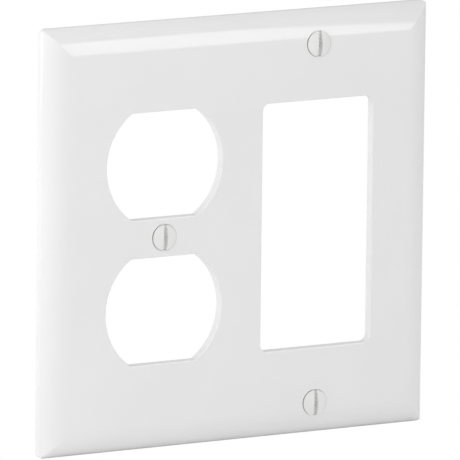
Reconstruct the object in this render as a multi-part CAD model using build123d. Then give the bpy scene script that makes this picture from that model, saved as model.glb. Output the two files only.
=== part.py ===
from build123d import *
import math
import os

# Two-gang combination wall plate, with a duplex opening on the left and a
# decorator opening on the right, and the three screws that hold it in place.
# Millimetres. The plate stands upright: X runs to the right seen from the
# front, Z runs up, and the front face looks along -Y. The origin is the middle
# of the plate on the wall plane, where the rim meets the wall.

# Plate outline and section
plate_width = 115.9
plate_height = 114.3
plate_depth = 5.6
rim_height = 1.4
border_width = 7.3
wall_thickness = 2.7
corner_radius = 1.5
rib_thickness = 1.4
rib_setback = 0.8

# Places of the gangs, their openings and their screws
gang_pitch = 46.04
receptacle_pitch = 38.9
decorator_screw_pitch = 96.84

# Openings for the devices
receptacle_diameter = 34.5
receptacle_flats = 28.5
receptacle_corner_radius = 0.8
decorator_width = 33.3
decorator_height = 66.7
decorator_corner_radius = 1.9
opening_edge_radius = 0.35

# Slotted oval-head screws, number 6 with 32 threads to the inch
countersink_angle = 82.0
thread_diameter = 3.5
neck_diameter = 2.9
neck_below_web = 0.6
head_diameter = 6.9
head_edge_height = 0.2
dome_height = 0.8
screw_length = 12.7
tip_chamfer = 0.5
slot_width = 1.1
slot_depth = 1.25
hole_clearance = 0.25
head_clearance = 0.15

# Overlap that keeps cutting faces off the faces they cut
overcut = 1.0

# Values that follow from the ones above
face_y = -plate_depth
cone_slope = math.tan(math.radians(countersink_angle / 2))
border_rise = plate_depth - rim_height
border_radius = (border_width**2 + border_rise**2) / (2 * border_rise)
border_centre_y = face_y + border_radius


def border_arc(half_span, radius, back_y):
    """Start, middle and end of the arc that leaves the flat front level and runs out to back_y."""
    centre_x = half_span - border_width
    end_angle = math.asin((border_centre_y - back_y) / radius)
    angles = [math.pi / 2, (math.pi / 2 + end_angle) / 2, end_angle]
    return [(centre_x + radius * math.cos(a), border_centre_y - radius * math.sin(a)) for a in angles]


def section_face(half_span, radius, back_y):
    """Full cross-section between the flat front and back_y, with a rounded border at both ends."""
    right = border_arc(half_span, radius, back_y)
    left = [(-x, y) for x, y in reversed(right)]
    with BuildSketch() as section:
        with BuildLine():
            ThreePointArc(*left)
            Line(left[-1], right[0])
            ThreePointArc(*right)
            Line(right[-1], left[0])
        make_face()
    return section.face()


def crossed_sections(radius, back_y):
    """The solid that shows this section both from above and from the side, so its corners are mitred."""
    across = section_face(plate_width / 2, radius, back_y)
    upright = section_face(plate_height / 2, radius, back_y)
    along_z = extrude(across, amount=plate_height, both=True)
    along_x = Rot(0, 90, 0) * extrude(upright, amount=plate_width, both=True)
    return along_z & along_x


def through_cut(outline):
    """Extrude an outline drawn as seen from the front through the whole depth of the plate."""
    placed = Plane((0, overcut, 0), x_dir=(1, 0, 0), z_dir=(0, -1, 0)) * outline
    return extrude(placed, amount=plate_depth + 2 * overcut)


def receptacle_outline():
    """Circle with its top and bottom cut flat."""
    disc = Circle(receptacle_diameter / 2)
    shape = disc & Rectangle(receptacle_diameter, receptacle_flats)
    return fillet(shape.vertices(), receptacle_corner_radius)


def screw_hole(x, z):
    """Countersunk hole for one oval-head screw."""
    hole_radius = thread_diameter / 2 + hole_clearance
    sink_radius = head_diameter / 2 + head_clearance
    sink_depth = (sink_radius - hole_radius) / cone_slope
    extra_radius = sink_radius + overcut * cone_slope
    with BuildSketch() as half:
        with BuildLine():
            Polyline(
                (0, face_y - overcut),
                (extra_radius, face_y - overcut),
                (hole_radius, face_y + sink_depth),
                (hole_radius, overcut),
                (0, overcut),
                close=True,
            )
        make_face()
    return Pos(x, 0, z) * revolve(half.face(), axis=Axis.Y)


def cover_plate():
    """Hollow moulding with a mitred, rounded border, open behind."""
    rounded = crossed_sections(border_radius, 0)
    outer = rounded & through_cut(RectangleRounded(plate_width, plate_height, corner_radius))
    cavity = crossed_sections(border_radius - wall_thickness, overcut)
    rib_block = Box(rib_thickness, plate_depth, plate_height)
    rib = Pos(0, -plate_depth / 2 - rib_setback, 0) * rib_block & outer
    body = outer - cavity + rib
    for step in (-1, 1):
        place = Pos(-gang_pitch / 2, step * receptacle_pitch / 2)
        body -= through_cut(place * receptacle_outline())
    decorator = RectangleRounded(decorator_width, decorator_height, decorator_corner_radius)
    body -= through_cut(Pos(gang_pitch / 2, 0) * decorator)
    front = body.faces().filter_by(Plane.XZ).sort_by(Axis.Y)[0]
    rims = [edge for wire in front.inner_wires() for edge in wire.edges()]
    body = fillet(rims, opening_edge_radius)
    for x, z in screw_places.values():
        body -= screw_hole(x, z)
    return body


def screw(x, z):
    """Oval-head screw, seated in its hole, with an upright slot."""
    head_radius = head_diameter / 2
    thread_radius = thread_diameter / 2
    neck_radius = neck_diameter / 2
    cone_height = (head_radius - neck_radius) / cone_slope
    neck_end = wall_thickness + neck_below_web
    dome_radius = (head_radius**2 + dome_height**2) / (2 * dome_height)
    dome_centre = dome_radius - head_edge_height - dome_height
    half_angle = math.asin(head_radius / dome_radius) / 2
    dome_middle = (dome_radius * math.sin(half_angle), dome_centre - dome_radius * math.cos(half_angle))
    with BuildSketch() as half:
        with BuildLine():
            ThreePointArc((0, -head_edge_height - dome_height), dome_middle, (head_radius, -head_edge_height))
            Polyline(
                (head_radius, -head_edge_height),
                (head_radius, 0),
                (neck_radius, cone_height),
                (neck_radius, neck_end),
                (thread_radius, neck_end),
                (thread_radius, screw_length - tip_chamfer),
                (thread_radius - tip_chamfer, screw_length),
                (0, screw_length),
                (0, -head_edge_height - dome_height),
            )
        make_face()
    turned = revolve(half.face(), axis=Axis.Y)
    slot_middle = slot_depth / 2 - head_edge_height - dome_height - overcut / 2
    slot = Pos(0, slot_middle, 0) * Box(slot_width, slot_depth + overcut, head_diameter + overcut)
    return Pos(x, face_y, z) * (turned - slot)


screw_places = {
    "duplex_screw": (-gang_pitch / 2, 0),
    "decorator_screw_top": (gang_pitch / 2, decorator_screw_pitch / 2),
    "decorator_screw_bottom": (gang_pitch / 2, -decorator_screw_pitch / 2),
}

pieces = {"cover_plate": cover_plate()}
for name, (x, z) in screw_places.items():
    pieces[name] = screw(x, z)

os.makedirs("parts", exist_ok=True)
for name, shape in pieces.items():
    export_step(shape, f"parts/{name}.step")
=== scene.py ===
# %% [markdown]
# # A two-gang combination wall plate and its three screws
#
# The plate is one glossy white moulding. It covers a duplex receptacle on the
# left and a decorator device on the right, and three painted oval-head screws
# hold it to them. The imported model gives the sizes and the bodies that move.
# This lesson remodels the same pieces with soft edges and a real thread, gives
# them their finishes, and lights them like a small studio table.

# %% Load the frame
import math

import bmesh
import bpy
from mathutils import Matrix, Quaternion, Vector


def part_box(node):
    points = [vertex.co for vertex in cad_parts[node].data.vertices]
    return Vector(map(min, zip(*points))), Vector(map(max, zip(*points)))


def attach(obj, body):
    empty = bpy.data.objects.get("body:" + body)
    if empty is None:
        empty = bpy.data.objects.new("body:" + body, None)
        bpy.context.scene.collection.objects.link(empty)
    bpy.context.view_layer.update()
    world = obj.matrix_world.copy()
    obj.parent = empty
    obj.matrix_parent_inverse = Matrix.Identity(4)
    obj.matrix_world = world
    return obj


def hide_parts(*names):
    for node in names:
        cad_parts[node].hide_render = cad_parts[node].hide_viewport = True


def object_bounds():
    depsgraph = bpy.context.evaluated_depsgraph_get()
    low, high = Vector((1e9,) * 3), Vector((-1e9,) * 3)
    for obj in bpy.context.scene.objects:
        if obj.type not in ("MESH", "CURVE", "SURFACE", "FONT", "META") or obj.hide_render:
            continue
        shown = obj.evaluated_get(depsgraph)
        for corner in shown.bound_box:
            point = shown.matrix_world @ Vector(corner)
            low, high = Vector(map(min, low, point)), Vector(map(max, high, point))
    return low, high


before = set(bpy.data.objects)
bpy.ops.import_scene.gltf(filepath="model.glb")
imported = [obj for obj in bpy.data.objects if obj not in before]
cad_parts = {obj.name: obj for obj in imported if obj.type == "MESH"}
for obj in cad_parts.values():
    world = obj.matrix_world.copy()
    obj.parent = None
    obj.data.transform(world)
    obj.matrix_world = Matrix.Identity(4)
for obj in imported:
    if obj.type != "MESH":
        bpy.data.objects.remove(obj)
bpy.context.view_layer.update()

mm = 0.001

# %% [markdown]
# ## Sizes
#
# The outline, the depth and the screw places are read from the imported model,
# so that a change there is followed here. What a bounding box can't tell, such
# as how wide the rounded border is, is named once below.

# %% Outline and section of the plate
plate_low, plate_high = [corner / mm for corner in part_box("cover_plate")]
half_width = plate_high.x
half_height = plate_high.z
face_y = plate_low.y
wall_y = plate_high.y
border_width = 7.3
rim_height = 1.4
wall_thickness = 2.7
corner_radius = 1.5
mitre_radius = 0.25
web_y = face_y + wall_thickness
border_rise = (wall_y - face_y) - rim_height
border_radius = (border_width**2 + border_rise**2) / (2 * border_rise)
border_centre_y = face_y + border_radius
print("border arc radius:", round(border_radius, 3), "mm")

# %% Screw places and the openings
screw_names = ["duplex_screw", "decorator_screw_top", "decorator_screw_bottom"]


def middle_of(node):
    """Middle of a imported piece, seen from the front."""
    low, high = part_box(node)
    return Vector(((low.x + high.x) / 2, 0, (low.z + high.z) / 2)) / mm


screw_places = {name: middle_of(name) for name in screw_names}
duplex_x = screw_places["duplex_screw"].x
decorator_x = screw_places["decorator_screw_top"].x
receptacle_pitch = 38.9
receptacle_radius = 17.25
receptacle_half_flats = 14.25
receptacle_corner = 0.8
decorator_half_width = 16.65
decorator_half_height = 33.35
decorator_corner = 1.9
lip_radius = 0.35
face_margin = 0.3
print("screw places:", {name: [round(v, 2) for v in place] for name, place in screw_places.items()})

# %% [markdown]
# ## The plate: loops first
#
# On the real plate a flat face runs level into a rounded border, and the four
# borders meet in mitres. A bevelled box can't give that long, shallow arc, so
# the border is skinned over a stack of rounded rectangles. Each one is a grid
# of a single face whose four corners are bevelled. A tiny radius makes the
# mitre a soft ridge, and it opens to the real corner radius at the outline.


# %% A rounded rectangle and a loop of edges
def new_face(bm, before):
    """The face that an operator has just added."""
    return next(face for face in bm.faces if face not in before)


def rounded_rectangle(bm, half_x, half_z, radius, y, steps=6):
    """One flat face with rounded corners that looks to the front."""
    before = set(bm.faces)
    corners = bmesh.ops.create_grid(bm, x_segments=1, y_segments=1, size=1.0)["verts"]
    turn = Matrix.Rotation(math.radians(90), 3, "X")
    bmesh.ops.rotate(bm, verts=corners, cent=(0, 0, 0), matrix=turn)
    bmesh.ops.scale(bm, verts=corners, vec=(half_x, 1, half_z))
    bmesh.ops.translate(bm, verts=corners, vec=(0, y, 0))
    bmesh.ops.bevel(
        bm, geom=corners, offset=radius, offset_type="OFFSET", affect="VERTICES",
        segments=steps, profile=0.5, material=-1,
    )
    return new_face(bm, before)


def ring(bm, inset, corner, y):
    """The edges of a rounded rectangle that lies inset from the outline."""
    face = rounded_rectangle(bm, half_width - inset, half_height - inset, corner, y)
    edges = list(face.edges)
    bmesh.ops.delete(bm, geom=[face], context="FACES_ONLY")
    return edges


def skin(bm, rings):
    """Faces between each ring and the next."""
    for first, second in zip(rings, rings[1:]):
        bmesh.ops.bridge_loops(bm, edges=first + second)


# %% The outside of the border, from the face to the wall
border_steps = 24
hollow_steps = 12


def border_rings(bm, radius, end_y, steps, outside):
    """Rings down the border arc, from level with the face to end_y."""
    end_angle = math.asin((border_centre_y - end_y) / radius)
    rings = []
    for step in range(steps + 1):
        angle = math.pi / 2 + (end_angle - math.pi / 2) * step / steps
        inset = border_width - radius * math.cos(angle)
        corner = mitre_radius
        if outside:
            corner = max(mitre_radius, corner_radius - inset * (2 + math.sqrt(2)))
        rings.append(ring(bm, inset, corner, border_centre_y - radius * math.sin(angle)))
    return rings


plate = bmesh.new()
face_ring = ring(plate, border_width + face_margin, mitre_radius, face_y)
outer_rings = border_rings(plate, border_radius, wall_y - rim_height, border_steps, outside=True)
wall_ring = ring(plate, 0, corner_radius, wall_y)
skin(plate, [face_ring] + outer_rings + [wall_ring])
print("outside of the border:", len(plate.faces), "faces")

# %% [markdown]
# ## The openings
#
# The moulding tool leaves every opening with a rounded lip. The front is
# filled flat around the outlines first. Each outline is a face of its own, and
# insets that follow a quarter circle turn it down into the opening. A narrow
# level margin comes before each curve, so that smooth shading has room to
# settle and the wide flat face stays flat in its reflections.


# %% Outlines of the openings, drawn larger by the lip and its margin
lip_reach = lip_radius + face_margin
lip_steps = 6
receptacle_arc_steps = 44
decorator_corner_steps = 10


def place_face(bm, face, x, z):
    """Slide a flat face to its place on the plate."""
    bmesh.ops.translate(bm, verts=list(face.verts), vec=(x, 0, z))
    return face


def disc(bm, radius, y, segments, x=0.0, z=0.0):
    """A flat round face that looks to the front."""
    before = set(bm.faces)
    upright = Matrix.Translation((x, y, z)) @ Matrix.Rotation(math.radians(90), 4, "X")
    bmesh.ops.create_circle(bm, cap_ends=True, segments=segments, radius=radius, matrix=upright)
    return new_face(bm, before)


def spin_arc(bm, start, cent, axis, angle, steps):
    """Carry one point round an arc, and return the point it ends at."""
    arc = bmesh.ops.spin(
        bm, geom=[start], cent=cent, axis=axis, dvec=(0, 0, 0), angle=angle, steps=steps,
        use_merge=False, use_duplicate=False,
    )
    return next(item for item in arc["geom_last"] if isinstance(item, bmesh.types.BMVert))


def receptacle_face(bm, x, z):
    """Two arcs joined by a flat above and a flat below, with the four corners eased."""
    faces = set(bm.faces)
    edges = set(bm.edges)
    radius = receptacle_radius + lip_reach
    half_turn = math.asin((receptacle_half_flats + lip_reach) / radius)
    ends = []
    for side in (1, -1):
        low_point = (side * radius * math.cos(half_turn), face_y, -side * radius * math.sin(half_turn))
        start = bmesh.ops.create_vert(bm, co=low_point)["vert"][0]
        centre = (0, face_y, 0)
        ends += [start, spin_arc(bm, start, centre, (0, -1, 0), 2 * half_turn, receptacle_arc_steps)]
    bm.edges.new((ends[1], ends[2]))
    bm.edges.new((ends[3], ends[0]))
    bmesh.ops.contextual_create(bm, geom=[edge for edge in bm.edges if edge not in edges])
    tangent = (receptacle_corner + lip_reach) * math.tan((math.pi / 2 - half_turn) / 2)
    bmesh.ops.bevel(
        bm, geom=ends, offset=tangent, offset_type="OFFSET", affect="VERTICES",
        segments=5, profile=0.5, material=-1,
    )
    face = new_face(bm, faces)
    if face.normal.y > 0:
        face.normal_flip()
    return place_face(bm, face, x, z)


decorator_face = place_face(
    plate,
    rounded_rectangle(
        plate, decorator_half_width + lip_reach, decorator_half_height + lip_reach,
        decorator_corner + lip_reach, face_y, decorator_corner_steps,
    ),
    decorator_x, 0,
)
device_faces = [decorator_face]
for way in (-1, 1):
    device_faces.append(receptacle_face(plate, duplex_x, way * receptacle_pitch / 2))
print("device openings:", [len(face.verts) for face in device_faces], "points round each")


# %% Fill the flat front around the outlines
def fill_flat(bm, loops, facing):
    """Flat triangles between an outer loop and the loops inside it; facing is -1 for the front."""
    filled = bmesh.ops.triangle_fill(
        bm, use_beauty=True, use_dissolve=False, edges=loops, normal=(0, facing, 0)
    )
    return [item for item in filled["geom"] if isinstance(item, bmesh.types.BMFace)]


front_loops = list(face_ring)
for face in device_faces:
    front_loops += list(face.edges)
front = fill_flat(plate, front_loops, -1)
print("flat front:", len(front), "triangles")


# %% Turn each outline down into its opening
def sink(bm, face, steps):
    """Inset a face once for each (inwards, along its normal) step."""
    for thickness, depth in steps:
        bmesh.ops.inset_region(
            bm, faces=[face], thickness=thickness, depth=depth, use_boundary=True, use_even_offset=True
        )


def rounded_edge(radius, steps):
    """Steps of a quarter circle that turns from level to straight down."""
    angles = [math.radians(90) * step / steps for step in range(steps + 1)]
    pairs = zip(angles, angles[1:])
    return [(radius * (math.sin(b) - math.sin(a)), radius * (math.cos(b) - math.cos(a))) for a, b in pairs]


back_edge = 0.1
open_loops = []


def open_through(bm, face, steps):
    """Sink a face along these steps and on to the back, and take it away."""
    sink(bm, face, steps)
    sunk = face.calc_center_median().y
    sink(bm, face, [(0, sunk - (web_y - back_edge)), (-back_edge, -back_edge)])
    loop = list(face.edges)
    bmesh.ops.delete(bm, geom=[face], context="FACES_ONLY")
    open_loops.extend(loop)


for face in device_faces:
    open_through(plate, face, [(face_margin, 0)] + rounded_edge(lip_radius, lip_steps))
for face in plate.faces:
    face.material_index = 0
print("front and openings:", len(plate.faces), "faces")

# %% [markdown]
# ## The hollow back
#
# Nobody sees the back of a wall plate once it is up, so it is plain: a wall of
# even thickness, one rib down the middle, and the shallow round marks of the
# pins that push it out of the mould. It is skinned and filled like the front,
# and its faces carry a second, duller material.

# %% The hollow
front_count = len(plate.faces)
hollow_radius = border_radius - wall_thickness
hollow_rings = border_rings(plate, hollow_radius, wall_y, hollow_steps, outside=False)
back_ring = ring(plate, border_width + face_margin, mitre_radius, web_y)
skin(plate, [back_ring] + hollow_rings)
fill_flat(plate, hollow_rings[-1] + wall_ring, 1)
print("hollow:", round(wall_y - web_y, 2), "mm deep")

# %% Outlines of the rib and the pin marks
rib_half_thickness = 0.7
rib_setback = 0.8
rib_foot = 0.3
rib_draft = 0.06
pin_radius = 1.9
pin_depth = 0.06
pin_wall = 0.03
pin_margin = 4.5
pin_segments = 32

rib_corner = 0.5
foot_reach = rib_foot + face_margin
rib_half_length = half_height - border_width - 2 * foot_reach
rib_face = rounded_rectangle(
    plate, rib_half_thickness + foot_reach, rib_half_length, rib_corner + foot_reach, web_y
)
pin_faces = []
for side in (-1, 1):
    for level in (-1, 0, 1):
        pin_x = side * (half_width - border_width - pin_margin)
        pin_z = level * (half_height - border_width - pin_margin)
        pin_faces.append(disc(plate, pin_radius, web_y, pin_segments, pin_x, pin_z))
bmesh.ops.reverse_faces(plate, faces=[rib_face] + pin_faces)
print("rib:", round(2 * rib_half_length, 1), "mm long, with", len(pin_faces), "pin marks")

# %% Fill the web, raise the rib and sink the marks
back_loops = list(back_ring) + open_loops
for face in [rib_face] + pin_faces:
    back_loops += list(face.edges)
fill_flat(plate, back_loops, 1)
rib_foot_steps = 5
foot_steps = [(sideways, -rise) for sideways, rise in rounded_edge(rib_foot, rib_foot_steps)]
rib_rise = (wall_y - rib_setback) - web_y - rib_foot
draft_steps = [(rib_draft, rib_rise - 2 * rib_draft), (rib_draft, 2 * rib_draft)]
sink(plate, rib_face, [(face_margin, 0)] + foot_steps + draft_steps)
for face in pin_faces:
    sink(plate, face, [(pin_wall, -pin_depth)])
for face in list(plate.faces)[front_count:]:
    face.material_index = 1
print("whole plate:", len(plate.faces), "faces")


# %% Ease the rim
level_tolerance = 0.001
border_foot_ease = 0.12
outline_ease = 0.15
hollow_ease = 0.12


def edges_at(edges, y):
    """The edges, out of those that are still there, which lie at this depth."""
    return [edge for edge in edges if edge.is_valid and abs(edge.verts[0].co.y - y) < level_tolerance]


def ease(bm, edges, width, segments):
    """Round a run of edges off."""
    bmesh.ops.bevel(
        bm, geom=edges, offset=width, offset_type="OFFSET", affect="EDGES",
        segments=segments, profile=0.5, material=-1,
    )


ease(plate, outer_rings[-1], border_foot_ease, 3)
ease(plate, edges_at(wall_ring, wall_y), outline_ease, 5)
ease(plate, edges_at(hollow_rings[-1], wall_y), hollow_ease, 4)
print("with an eased rim:", len(plate.faces), "faces")

# %% [markdown]
# ## The screw holes
#
# Two of the countersunk holes stand so near the edge that they run out on to
# the rounded border. A flat outline can't follow that, so these holes are cut
# with plugs of their own shape. A plug is turned from a short profile, as a
# countersink is ground, with a small flare that eases the edge of the hole.

# %% Turn the plugs
sink_radius = 3.6
hole_radius = 2.0
sink_degrees = 82
sink_slope = math.tan(math.radians(sink_degrees / 2))
overcut = 1.0
merge_distance = 0.0005
turn_steps = 64
flare_width = 0.12
flare_slope = math.tan(math.radians(65))
flare_bend_width = 0.04
flare_bend_depth = 0.037
flare_inset = 0.02
flare_depth = 0.082
sink_depth = (sink_radius - flare_inset - hole_radius) / sink_slope
print("countersink:", round(flare_depth + sink_depth, 2), "mm deep")


def lengthen(bm, vert, x, y):
    """Carry a profile on from its last point to a new one."""
    grown = bmesh.ops.extrude_vert_indiv(bm, verts=[vert])["verts"][0]
    grown.co = (x, y, 0)
    return grown


def turn_profile(bm, steps):
    """Turn a profile about the Y axis and close it where it meets the axis."""
    bmesh.ops.spin(
        bm, geom=bm.verts[:] + bm.edges[:], cent=(0, 0, 0), axis=(0, 1, 0), dvec=(0, 0, 0),
        angle=math.tau, steps=steps, use_merge=True, use_duplicate=False,
    )
    bmesh.ops.remove_doubles(bm, verts=bm.verts[:], dist=merge_distance)


def hole_plug(place):
    """A solid plug with the shape of one countersunk hole."""
    bm = bmesh.new()
    last = bmesh.ops.create_vert(bm, co=(0, face_y - overcut, 0))["vert"][0]
    rim = sink_radius + flare_width
    for x, y in [
        (rim + overcut * flare_slope, face_y - overcut),
        (rim, face_y),
        (sink_radius + flare_bend_width, face_y + flare_bend_depth),
        (sink_radius - flare_inset, face_y + flare_depth),
        (hole_radius, face_y + flare_depth + sink_depth),
        (hole_radius, wall_y + overcut),
        (0, wall_y + overcut),
    ]:
        last = lengthen(bm, last, x, y)
    turn_profile(bm, turn_steps)
    bmesh.ops.recalc_face_normals(bm, faces=bm.faces[:])
    bmesh.ops.translate(bm, verts=bm.verts[:], vec=place)
    return bm


# %% Cut the holes
def temporary(name, bm):
    """A short-lived object for this mesh."""
    mesh = bpy.data.meshes.new(name)
    bm.to_mesh(mesh)
    bm.free()
    thing = bpy.data.objects.new(name, mesh)
    bpy.context.scene.collection.objects.link(thing)
    return thing


def cut_away(bm, plugs):
    """What is left of a mesh when these plugs are taken out of it."""
    bmesh.ops.recalc_face_normals(bm, faces=bm.faces[:])
    blank = temporary("blank", bm)
    cutters = [temporary("cutter", plug) for plug in plugs]
    for cutter in cutters:
        cut = blank.modifiers.new("cut", "BOOLEAN")
        cut.operation = "DIFFERENCE"
        cut.solver = "EXACT"
        cut.object = cutter
    shown = blank.evaluated_get(bpy.context.evaluated_depsgraph_get())
    left = bmesh.new()
    left.from_mesh(shown.to_mesh())
    for thing in [blank] + cutters:
        mesh = thing.data
        bpy.data.objects.remove(thing)
        bpy.data.meshes.remove(mesh)
    return left


plate = cut_away(plate, [hole_plug(place) for place in screw_places.values()])
print("plate with its screw holes:", len(plate.faces), "faces")


# %% Finish the mesh
plate_sharp_degrees = 22


def finish_mesh(bm, name, sharp_degrees):
    """Merge doubles, turn the faces outwards, shade smooth, and make the object."""
    bmesh.ops.remove_doubles(bm, verts=bm.verts[:], dist=merge_distance)
    bmesh.ops.recalc_face_normals(bm, faces=bm.faces[:])
    open_edges = [edge for edge in bm.edges if len(edge.link_faces) != 2]
    for face in bm.faces:
        face.smooth = True
    for edge in bm.edges:
        edge.smooth = len(edge.link_faces) == 2 and edge.calc_face_angle(0) < math.radians(sharp_degrees)
    mesh = bpy.data.meshes.new(name)
    volume = bm.calc_volume()
    bmesh.ops.scale(bm, verts=bm.verts[:], vec=(mm, mm, mm))
    bm.to_mesh(mesh)
    bm.free()
    thing = bpy.data.objects.new(name, mesh)
    bpy.context.scene.collection.objects.link(thing)
    print(name, len(mesh.polygons), "faces,", len(open_edges), "open edges,", round(volume), "mm3")
    return thing


moulding = finish_mesh(plate, "moulding", plate_sharp_degrees)
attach(moulding, "plate")
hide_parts("cover_plate")

# %% [markdown]
# ## The screws
#
# Each screw is turned from a short profile, as on a lathe: a domed head, a
# cone that seats in the plate, and a plain neck. The thread is one pitch of
# its section, spun round and carried along by one pitch for each turn.

# %% Sizes of a number 6 screw with 32 threads to the inch
head_radius = 3.45
head_edge = 0.2
dome_height = 0.8
neck_radius = 1.45
neck_end = 3.3
thread_radius = 1.75
pitch = 25.4 / 32
thread_end = 12.2
screw_end = 12.7
tip_radius = 1.2
slot_half_width = 0.55
slot_floor = 0.25
cone_end = (head_radius - neck_radius) / sink_slope
dome_top = -head_edge - dome_height
dome_radius = (head_radius**2 + dome_height**2) / (2 * dome_height)
head_ease = 0.08
dome_steps = 10
slot_ease = 0.05
slot_sharp_angle = 0.6
print("one thread every", round(pitch, 3), "mm")


# %% Turn the head
def loop_at(bm, y):
    """The edges that lie level at this distance along the screw."""
    return [edge for edge in bm.edges if all(abs(v.co.y - y) < merge_distance for v in edge.verts)]


def turned_head(bm):
    """Dome, edge, cone and neck, turned about the Y axis."""
    apex = bmesh.ops.create_vert(bm, co=(0, dome_top, 0))["vert"][0]
    dome_angle = math.asin(head_radius / dome_radius)
    last = spin_arc(bm, apex, (0, dome_top + dome_radius, 0), (0, 0, 1), dome_angle, dome_steps)
    for x, y in [
        (head_radius, -head_edge + head_ease),
        (head_radius, -head_ease / 2),
        (head_radius - head_ease / 2, head_ease / 2),
        (neck_radius, cone_end),
        (neck_radius, neck_end),
    ]:
        last = lengthen(bm, last, x, y)
    turn_profile(bm, turn_steps)


# %% Saw the slot
def saw_slot(bm):
    """Cut the driver slot across the head and give it walls and a floor."""
    whole = bm.verts[:] + bm.edges[:] + bm.faces[:]
    bmesh.ops.bisect_plane(bm, geom=whole, plane_co=(0, slot_floor, 0), plane_no=(0, 1, 0))
    for way in (-1, 1):
        top = [face for face in bm.faces if face.calc_center_median().y < slot_floor]
        around = list({item for face in top for item in list(face.edges) + list(face.verts)})
        bmesh.ops.bisect_plane(
            bm, geom=top + around, plane_co=(way * slot_half_width, 0, 0), plane_no=(way, 0, 0)
        )
    sawn = []
    for face in bm.faces:
        middle = face.calc_center_median()
        if middle.y < slot_floor and abs(middle.x) < slot_half_width:
            sawn.append(face)
    bmesh.ops.delete(bm, geom=sawn, context="FACES")
    rim = [edge for edge in bm.edges if edge.is_boundary and edge.verts[0].co.y < neck_end / 2]
    corners = {v for edge in rim for v in edge.verts if abs(v.co.y - slot_floor) < merge_distance}
    corners = [v for v in corners if abs(abs(v.co.x) - slot_half_width) < merge_distance]
    for way in (-1, 1):
        rim.append(bm.edges.new([v for v in corners if v.co.x * way > 0]))
    bmesh.ops.edgenet_fill(bm, edges=rim)
    sharp = [edge for edge in rim if edge.is_valid and edge.calc_face_angle(0) > slot_sharp_angle]
    ease(bm, sharp, slot_ease, 2)


# %% Cut the thread and chamfer the tip
thread_depth = 0.541 * pitch
root_flat = 0.25
flank = 0.3125
crest_flat = 0.125
lead_in = 1.5
runout = 0.2
steps_round = 28
thread_merge = 0.001
thread_start = neck_end + runout
print("thread:", round(thread_depth, 3), "mm deep and", round(thread_end - thread_start, 1), "mm long")


def cut_thread(bm):
    """A helical thread from the neck to the tip, on the same mesh."""
    neck_loop = loop_at(bm, neck_end)
    thread = bmesh.new()
    root = thread_radius - thread_depth
    start = neck_end - lead_in * pitch
    point = bmesh.ops.create_vert(thread, co=(root, start, 0))["vert"][0]
    share = 0
    for x, step in [(root, root_flat), (thread_radius, flank), (thread_radius, crest_flat), (root, flank)]:
        share += step
        point = lengthen(thread, point, x, start + share * pitch)
    turns = math.ceil((thread_end - start) / pitch) + 1
    bmesh.ops.spin(
        thread, geom=thread.verts[:] + thread.edges[:], cent=(0, 0, 0), axis=(0, 1, 0),
        dvec=(0, pitch / steps_round, 0), angle=math.tau * turns, steps=steps_round * turns,
        use_merge=False, use_duplicate=False,
    )
    bmesh.ops.remove_doubles(thread, verts=thread.verts[:], dist=thread_merge)
    for y, way in [(thread_start, -1), (thread_end, 1)]:
        whole = thread.verts[:] + thread.edges[:] + thread.faces[:]
        bmesh.ops.bisect_plane(
            thread, geom=whole, plane_co=(0, y, 0), plane_no=(0, way, 0), clear_outer=True
        )
    part = bpy.data.meshes.new("thread_part")
    thread.to_mesh(part)
    thread.free()
    bm.from_mesh(part)
    bpy.data.meshes.remove(part)
    tip = disc(bm, tip_radius, screw_end, steps_round)
    bmesh.ops.reverse_faces(bm, faces=[tip])
    bmesh.ops.bridge_loops(bm, edges=neck_loop + loop_at(bm, thread_start))
    bmesh.ops.bridge_loops(bm, edges=loop_at(bm, thread_end) + list(tip.edges))


# %% Make a screw for each hole
screw_sharp_degrees = 32


def make_screw(name, place):
    """One screw, built about the origin and then moved to its hole."""
    bm = bmesh.new()
    turned_head(bm)
    saw_slot(bm)
    cut_thread(bm)
    own_place = bm.verts.layers.float_vector.new("own_place")
    for vert in bm.verts:
        vert[own_place] = vert.co
    for face in bm.faces:
        face.material_index = 0 if face.calc_center_median().y < cone_end else 1
    bmesh.ops.translate(bm, verts=bm.verts[:], vec=place + Vector((0, face_y, 0)))
    return finish_mesh(bm, name, screw_sharp_degrees)


screws = []
for name, place in screw_places.items():
    finished = make_screw(name + "_finished", place)
    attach(finished, name)
    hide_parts(name)
    screws.append(finished)

# %% [markdown]
# ## Finishes
#
# The plate is injection moulded in a glossy white plastic. Its front copies a
# polished mould, which still leaves a faint orange peel that softens the edges
# of a reflection. The back copies a tool that was only ground, so it is duller
# and finely grained. The screw heads are stamped, plated and dipped in white
# enamel, and the enamel has been rubbed thin along the slot.
#
# All four finishes share one effect: fine grain over slow clouds of tone. It
# is a node group that puts out a colour, a roughness and a height.


# %% A helper for node trees
def add_node(tree, kind, **settings):
    """Add one node and set its properties."""
    node = tree.nodes.new(kind)
    for key, value in settings.items():
        setattr(node, key, value)
    return node


# %% The shared effect: grain and clouds
grain_detail = 3
grain_softness = 0.45
cloud_detail = 2
cloud_distortion = 0.6
tone_low = 0.3
tone_high = 0.7
gloss_low = 0.35
gloss_high = 0.65
grain_share = 0.35
cloud_share = 0.65


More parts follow.
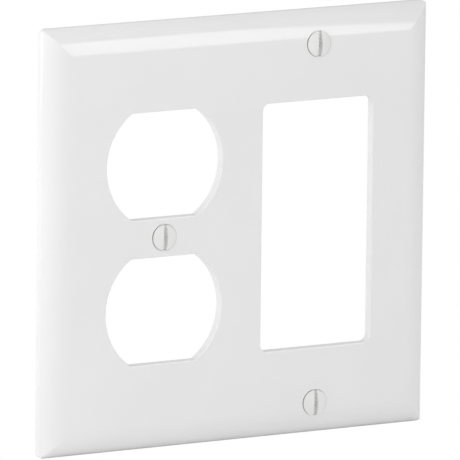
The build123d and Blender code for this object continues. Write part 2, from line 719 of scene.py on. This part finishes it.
def grained_surface():
    """Node group with a colour, a roughness and a height that change over the surface."""
    group = bpy.data.node_groups.new("grained_surface", "ShaderNodeTree")
    sockets = [
        ("Vector", "INPUT", "NodeSocketVector"),
        ("Light Tone", "INPUT", "NodeSocketColor"),
        ("Dark Tone", "INPUT", "NodeSocketColor"),
        ("Grain Scale", "INPUT", "NodeSocketFloat"),
        ("Cloud Scale", "INPUT", "NodeSocketFloat"),
        ("Smoothest", "INPUT", "NodeSocketFloat"),
        ("Roughest", "INPUT", "NodeSocketFloat"),
        ("Color", "OUTPUT", "NodeSocketColor"),
        ("Roughness", "OUTPUT", "NodeSocketFloat"),
        ("Height", "OUTPUT", "NodeSocketFloat"),
    ]
    for name, way, kind in sockets:
        group.interface.new_socket(name=name, in_out=way, socket_type=kind)
    given = add_node(group, "NodeGroupInput").outputs
    result = add_node(group, "NodeGroupOutput").inputs
    grain = add_node(group, "ShaderNodeTexNoise")
    grain.inputs["Detail"].default_value = grain_detail
    grain.inputs["Roughness"].default_value = grain_softness
    clouds = add_node(group, "ShaderNodeTexNoise")
    clouds.inputs["Detail"].default_value = cloud_detail
    clouds.inputs["Distortion"].default_value = cloud_distortion
    for texture, scale in [(grain, "Grain Scale"), (clouds, "Cloud Scale")]:
        group.links.new(given["Vector"], texture.inputs["Vector"])
        group.links.new(given[scale], texture.inputs["Scale"])
    tone = add_node(group, "ShaderNodeMix", data_type="RGBA")
    spread = add_node(group, "ShaderNodeMapRange", clamp=True)
    spread.inputs["From Min"].default_value = tone_low
    spread.inputs["From Max"].default_value = tone_high
    group.links.new(clouds.outputs["Fac"], spread.inputs["Value"])
    group.links.new(spread.outputs["Result"], tone.inputs["Factor"])
    group.links.new(given["Dark Tone"], tone.inputs["A"])
    group.links.new(given["Light Tone"], tone.inputs["B"])
    gloss = add_node(group, "ShaderNodeMapRange", clamp=True)
    gloss.inputs["From Min"].default_value = gloss_low
    gloss.inputs["From Max"].default_value = gloss_high
    both = add_node(group, "ShaderNodeMath", operation="MULTIPLY_ADD")
    both.inputs[1].default_value = grain_share
    group.links.new(grain.outputs["Fac"], both.inputs[0])
    share = add_node(group, "ShaderNodeMath", operation="MULTIPLY")
    share.inputs[1].default_value = cloud_share
    group.links.new(clouds.outputs["Fac"], share.inputs[0])
    group.links.new(share.outputs["Value"], both.inputs[2])
    group.links.new(both.outputs["Value"], gloss.inputs["Value"])
    group.links.new(given["Smoothest"], gloss.inputs["To Min"])
    group.links.new(given["Roughest"], gloss.inputs["To Max"])
    group.links.new(tone.outputs["Result"], result["Color"])
    group.links.new(gloss.outputs["Result"], result["Roughness"])
    group.links.new(grain.outputs["Fac"], result["Height"])
    return group


surface_group = grained_surface()
print("shared effect:", surface_group.name, len(surface_group.nodes), "nodes")


# %% A finish built on the shared effect
def new_finish(name, light, dark, grain, cloud, smoothest, roughest, relief):
    """A material whose colour, roughness and relief come from the shared effect."""
    material = bpy.data.materials.new(name)
    material.use_nodes = True
    tree = material.node_tree
    shader = tree.nodes["Principled BSDF"]
    place = add_node(tree, "ShaderNodeTexCoord")
    effect = add_node(tree, "ShaderNodeGroup", node_tree=surface_group)
    effect.name = "effect"
    bump = add_node(tree, "ShaderNodeBump")
    bump.inputs["Strength"].default_value = 1.0
    bump.inputs["Distance"].default_value = relief
    effect.inputs["Light Tone"].default_value = (*light, 1)
    effect.inputs["Dark Tone"].default_value = (*dark, 1)
    effect.inputs["Grain Scale"].default_value = grain
    effect.inputs["Cloud Scale"].default_value = cloud
    effect.inputs["Smoothest"].default_value = smoothest
    effect.inputs["Roughest"].default_value = roughest
    tree.links.new(place.outputs["Object"], effect.inputs["Vector"])
    tree.links.new(effect.outputs["Color"], shader.inputs["Base Color"])
    tree.links.new(effect.outputs["Roughness"], shader.inputs["Roughness"])
    tree.links.new(effect.outputs["Height"], bump.inputs["Height"])
    tree.links.new(bump.outputs["Normal"], shader.inputs["Normal"])
    print("finish:", name)
    return material


# %% The moulded plastic, front and back
white = (0.800, 0.800, 0.800)
off_white = (0.785, 0.785, 0.785)
back_dark = (0.78, 0.78, 0.775)
plastic_ior = 1.5
gloss_white = new_finish(
    "gloss_white_front", light=white, dark=off_white, grain=900, cloud=45,
    smoothest=0.07, roughest=0.1, relief=0.0000018,
)
plain_back = new_finish(
    "plain_white_back", light=white, dark=back_dark, grain=2600, cloud=60,
    smoothest=0.34, roughest=0.5, relief=0.00001,
)
for finish in [gloss_white, plain_back]:
    finish.node_tree.nodes["Principled BSDF"].inputs["IOR"].default_value = plastic_ior
    moulding.data.materials.append(finish)

# %% [markdown]
# ## Enamelled heads and plated threads
#
# A screwdriver touches only the slot, so that is where the enamel wears. The
# mask for it follows the distance from the slot's two walls, broken up by
# noise. It reads the place of each point on the screw itself, which was kept
# as an attribute before the screws were moved to their holes, so that all
# three screws wear in the same spot.

# %% White enamel that is rubbed thin along the slot
wear_reach = 0.12
wear_full = 0.01
patch_scale = 2.4
patch_detail = 5
patch_low = 0.5
patch_high = 0.62
bare_zinc = (0.62, 0.62, 0.60, 1)


def add_slot_wear(material):
    """Let the zinc show through the enamel along the edges of the slot."""
    tree = material.node_tree
    shader = tree.nodes["Principled BSDF"]
    effect = tree.nodes["effect"]
    own = add_node(tree, "ShaderNodeAttribute", attribute_name="own_place")
    apart = add_node(tree, "ShaderNodeSeparateXYZ")
    tree.links.new(own.outputs["Vector"], apart.inputs["Vector"])
    side = add_node(tree, "ShaderNodeMath", operation="ABSOLUTE")
    tree.links.new(apart.outputs["X"], side.inputs[0])
    near = add_node(tree, "ShaderNodeMapRange", interpolation_type="SMOOTHSTEP")
    near.inputs["From Min"].default_value = slot_half_width + wear_reach
    near.inputs["From Max"].default_value = slot_half_width + wear_full
    tree.links.new(side.outputs["Value"], near.inputs["Value"])
    patchy = add_node(tree, "ShaderNodeTexNoise")
    patchy.inputs["Scale"].default_value = patch_scale
    patchy.inputs["Detail"].default_value = patch_detail
    tree.links.new(own.outputs["Vector"], patchy.inputs["Vector"])
    broken = add_node(tree, "ShaderNodeMapRange", interpolation_type="SMOOTHSTEP")
    broken.inputs["From Min"].default_value = patch_low
    broken.inputs["From Max"].default_value = patch_high
    tree.links.new(patchy.outputs["Fac"], broken.inputs["Value"])
    worn = add_node(tree, "ShaderNodeMath", operation="MULTIPLY")
    tree.links.new(near.outputs["Result"], worn.inputs[0])
    tree.links.new(broken.outputs["Result"], worn.inputs[1])
    shown = add_node(tree, "ShaderNodeMix", data_type="RGBA")
    shown.inputs["B"].default_value = bare_zinc
    tree.links.new(worn.outputs["Value"], shown.inputs["Factor"])
    tree.links.new(effect.outputs["Color"], shown.inputs["A"])
    tree.links.new(shown.outputs["Result"], shader.inputs["Base Color"])


enamel_light = (0.80, 0.80, 0.795)
enamel_dark = (0.77, 0.77, 0.76)
enamel = new_finish(
    "white_enamel", light=enamel_light, dark=enamel_dark, grain=1500, cloud=160,
    smoothest=0.12, roughest=0.2, relief=0.000006,
)
add_slot_wear(enamel)

# %% Zinc plate on the thread
zinc_light = (0.63, 0.64, 0.65)
zinc_dark = (0.50, 0.50, 0.50)
zinc = new_finish(
    "zinc_plate", light=zinc_light, dark=zinc_dark, grain=3000, cloud=350,
    smoothest=0.22, roughest=0.38, relief=0.000004,
)
zinc.node_tree.nodes["Principled BSDF"].inputs["Metallic"].default_value = 1.0
for piece in screws:
    piece.data.materials.append(enamel)
    piece.data.materials.append(zinc)

# %% [markdown]
# ## The studio
#
# The plate stands on a white sweep in even light. Even light alone would make
# it a flat grey shape, so five softboxes draw it. A tall strip in front and to
# the right is mirrored as the bright line along the top border. Two lights on
# the left, one of them high, let the face grow darker towards the right. A
# side light just behind the plane of the plate lights the left rim and the
# right-hand walls of the openings, and a light overhead lifts the top rim.

# %% Camera
camera_turn = math.radians(-29.0575)
camera_rise = math.radians(10.5607)
camera_roll = math.radians(0.6398)
camera_distance = 2.578
sensor = 36.0
lens = 762.4
aim = Vector((-0.0002003, 0, -0.0007782))


def towards(turn, rise):
    """Unit vector that points this far round to the right of the front, and this far up."""
    level = math.cos(rise)
    return Vector((math.sin(turn) * level, -math.cos(turn) * level, math.sin(rise)))


def placed(thing, location, direction):
    """Put a camera or light in place, looking along a direction."""
    holder = bpy.data.objects.new(thing.name, thing)
    bpy.context.scene.collection.objects.link(holder)
    holder.location = location
    holder.rotation_mode = "QUATERNION"
    holder.rotation_quaternion = direction.to_track_quat("-Z", "Y")
    return holder


lens_data = bpy.data.cameras.new("camera")
lens_data.sensor_width = sensor
lens_data.lens = lens
back = towards(camera_turn, camera_rise)
camera = placed(lens_data, aim + back * camera_distance, -back)
camera.rotation_quaternion = camera.rotation_quaternion @ Quaternion((0, 0, 1), camera_roll)
bpy.context.scene.camera = camera
bpy.context.scene.view_settings.view_transform = "Standard"
print("camera stands", round(camera_distance, 2), "m away")


# %% A surface that is plain white to the camera
def split_for_camera(tree, lit, output):
    """Show the camera pure white, and let every other ray see the lit shader."""
    seen = add_node(tree, "ShaderNodeLightPath")
    glow = add_node(tree, "ShaderNodeEmission")
    choice = add_node(tree, "ShaderNodeMixShader")
    tree.links.new(seen.outputs["Is Camera Ray"], choice.inputs[0])
    tree.links.new(lit, choice.inputs[1])
    tree.links.new(glow.outputs["Emission"], choice.inputs[2])
    tree.links.new(choice.outputs["Shader"], output)


# %% Floor
floor_gap = 0.00002
floor_reach = 4
paper_white = (0.92, 0.92, 0.92, 1)
paper_roughness = 0.9
paper_glow = 0.078
sweep = bmesh.new()
bmesh.ops.create_grid(sweep, x_segments=1, y_segments=1, size=floor_reach)
bmesh.ops.translate(sweep, verts=sweep.verts[:], vec=(0, 0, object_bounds()[0][2] - floor_gap))
floor_mesh = bpy.data.meshes.new("floor")
sweep.to_mesh(floor_mesh)
sweep.free()
floor = bpy.data.objects.new("floor", floor_mesh)
bpy.context.scene.collection.objects.link(floor)
paper = bpy.data.materials.new("white_sweep")
paper.use_nodes = True
paper_shader = paper.node_tree.nodes["Principled BSDF"]
paper_shader.inputs["Base Color"].default_value = paper_white
paper_shader.inputs["Roughness"].default_value = paper_roughness
paper_shader.inputs["Emission Color"].default_value = (1, 1, 1, 1)
paper_shader.inputs["Emission Strength"].default_value = paper_glow
paper_end = paper.node_tree.nodes["Material Output"].inputs["Surface"]
split_for_camera(paper.node_tree, paper_shader.outputs["BSDF"], paper_end)
floor_mesh.materials.append(paper)
print("floor:", 2 * floor_reach, "m across")

# %% Even light, a little weaker behind the plate
front_strength = 0.67
back_strength = 0.585
fade_start = -0.4
fade_end = 0.6
world = bpy.data.worlds.new("studio")
world.use_nodes = True
bpy.context.scene.world = world
room = world.node_tree
room_light = room.nodes["Background"]
room_end = room.nodes["World Output"].inputs["Surface"]
direction = add_node(room, "ShaderNodeTexCoord")
apart = add_node(room, "ShaderNodeSeparateXYZ")
depth = add_node(room, "ShaderNodeMapRange", interpolation_type="SMOOTHSTEP")
depth.inputs["From Min"].default_value = fade_start
depth.inputs["From Max"].default_value = fade_end
depth.inputs["To Min"].default_value = front_strength
depth.inputs["To Max"].default_value = back_strength
room.links.new(direction.outputs["Generated"], apart.inputs["Vector"])
room.links.new(apart.outputs["Y"], depth.inputs["Value"])
room.links.new(depth.outputs["Result"], room_light.inputs["Strength"])
room_light.inputs["Color"].default_value = (1, 1, 1, 1)
split_for_camera(room, room_light.outputs["Background"], room_end)
print("even light:", front_strength, "in front and", back_strength, "behind")


# %% Softboxes
def softbox(name, turn, rise, distance, width, height, brightness):
    """A rectangular light that faces the plate; brightness is that of its white face."""
    light = bpy.data.lights.new(name, "AREA")
    light.shape = "RECTANGLE"
    light.size = width
    light.size_y = height
    light.energy = brightness * math.pi * width * height
    out = towards(math.radians(turn), math.radians(rise))
    print("softbox:", name, "at", turn, "degrees round and", rise, "degrees up")
    return placed(light, out * distance, -out)


softbox("strip", turn=29, rise=17, distance=1.2, width=0.22, height=0.84, brightness=2.85)
softbox("left_light", turn=-75, rise=25, distance=0.55, width=0.6, height=0.46, brightness=0.52)
softbox("left_high", turn=-45, rise=42, distance=0.42, width=0.16, height=0.16, brightness=1.95)
softbox("side_light", turn=-106, rise=16, distance=0.6, width=0.3, height=0.4, brightness=2.35)
softbox("top_light", turn=-10, rise=78, distance=0.8, width=0.4, height=0.4, brightness=1.0)
